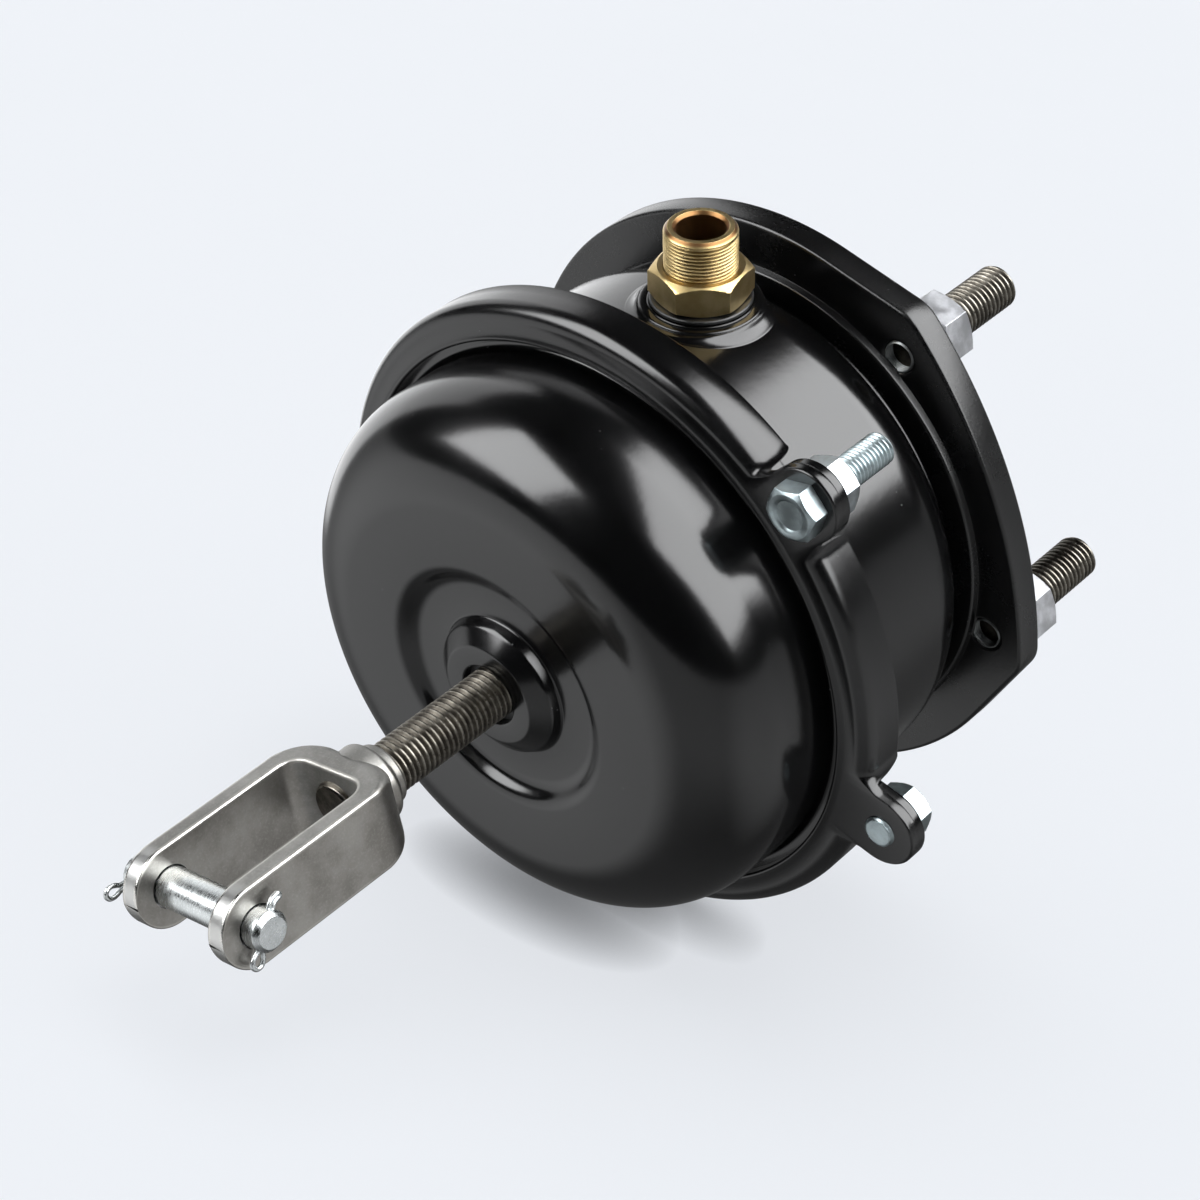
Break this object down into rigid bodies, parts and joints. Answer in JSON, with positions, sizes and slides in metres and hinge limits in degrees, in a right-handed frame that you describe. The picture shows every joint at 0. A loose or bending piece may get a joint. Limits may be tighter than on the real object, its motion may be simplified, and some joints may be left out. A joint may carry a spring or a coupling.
{
  "type": "air brake chamber",
  "caption": "Diaphragm air brake chamber with a thick stud plate, clamp ring, brass air port and a threaded push rod that ends in a forged clevis with its pin.",
  "frame": {"origin": "centre of the mounting plate's rear face, on the chamber's axis", "axes": "the chamber's axis is Y: the push rod points to -Y and the studs to +Y; the air port points up, +Z"},
  "size_m": [0.237, 0.3036, 0.2152],
  "materials": {
    "plate_paint": "satin black paint on thick steel plate",
    "housing_paint": "smooth semi-gloss black paint",
    "dome_paint": "smooth semi-gloss black paint",
    "ring_paint": "smooth semi-gloss black paint",
    "stud_steel": "dark phosphated threaded steel",
    "rod_steel": "dark phosphated threaded steel",
    "zinc": "bright blue-white zinc plate",
    "brass": "machined brass",
    "seal_rubber": "black rubber",
    "diaphragm_rubber": "fabric-reinforced black rubber",
    "inner_steel": "plain pressed steel",
    "spring_steel": "oiled spring steel",
    "guide_nylon": "black nylon",
    "clevis_steel": "blasted grey forging with rubbed edges",
    "pin_steel": "zinc-plated turned steel"
  },
  "bodies": {
    "housing": {"mounting_plate": "plate_paint", "mounting_studs": "stud_steel", "stud_nuts": "zinc", "rear_housing": "housing_paint", "port_boss": "housing_paint", "port_seal": "seal_rubber", "port_fitting": "brass", "diaphragm": "diaphragm_rubber", "return_spring": "spring_steel", "rod_guide": "guide_nylon", "front_housing": "dome_paint", "clamp_ring": "ring_paint", "clamp_bolts": "zinc", "clamp_nuts": "zinc", "clamp_bolt_washer": "inner_steel"},
    "rod": {"push_plate": "inner_steel", "push_plate_nut": "inner_steel", "push_rod": "rod_steel", "clevis": "clevis_steel"},
    "pin": {"clevis_pin": "pin_steel", "cotter_pin_near": "pin_steel", "cotter_pin_far": "pin_steel"}
  },
  "joints": [
    {"name": "rod_slide", "type": "slide", "parent": "housing", "child": "rod", "axis": [0, -1, 0], "range_m": [0, 0.0635], "stiffness_N_per_m": 2000, "springref_m": -0.08, "deforming": ["return_spring", "diaphragm"]},
    {"name": "pin_turn", "type": "hinge", "parent": "rod", "child": "pin", "pos_m": [0, -0.2485, 0], "axis": [0.9781, 0, 0.2079], "continuous": true}
  ]
}
